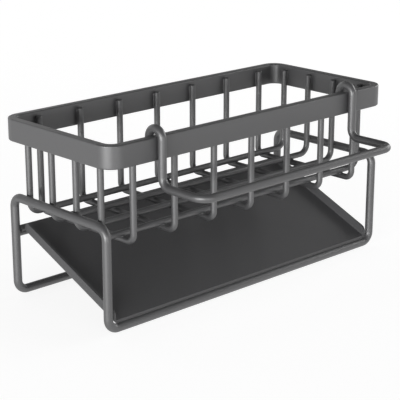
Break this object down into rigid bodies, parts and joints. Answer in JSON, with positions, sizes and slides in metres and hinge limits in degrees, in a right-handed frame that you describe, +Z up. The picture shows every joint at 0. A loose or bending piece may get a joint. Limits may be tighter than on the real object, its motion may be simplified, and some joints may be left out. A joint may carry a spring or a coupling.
{
  "type": "kitchen sink caddy",
  "caption": "Coated steel wire sink caddy with a flat-rimmed basket, a looped wire stand, a hook-on towel rail and a sloping drain tray.",
  "frame": {"origin": "centre of the stand's footprint, on the plane that its bottom rails rest on", "axes": "+X along the long side, +Y away from the towel rail towards the back, +Z up"},
  "size_m": [0.266, 0.1574, 0.1343],
  "materials": {
    "coated_steel": "smooth semi-gloss dark grey coating"
  },
  "bodies": {
    "caddy": {"stand_frame": "coated_steel", "tray_crossbar": "coated_steel", "rim_band": "coated_steel", "cross_wire_1": "coated_steel", "cross_wire_2": "coated_steel", "cross_wire_3": "coated_steel", "cross_wire_4": "coated_steel", "cross_wire_5": "coated_steel", "cross_wire_6": "coated_steel", "cross_wire_7": "coated_steel", "length_wire_1": "coated_steel", "length_wire_2": "coated_steel", "length_wire_3": "coated_steel", "length_wire_4": "coated_steel"},
    "towel_rail": {"towel_rail": "coated_steel"},
    "drain_tray": {"drain_tray": "coated_steel"}
  },
  "joints": [
    {"name": "towel_rail_lift", "type": "slide", "parent": "caddy", "child": "towel_rail", "axis": [0, 0, 1], "range_m": [0, 0.04]},
    {"name": "drain_tray_draw", "type": "slide", "parent": "caddy", "child": "drain_tray", "axis": [0, -1, 0], "range_m": [0, 0.11]}
  ]
}
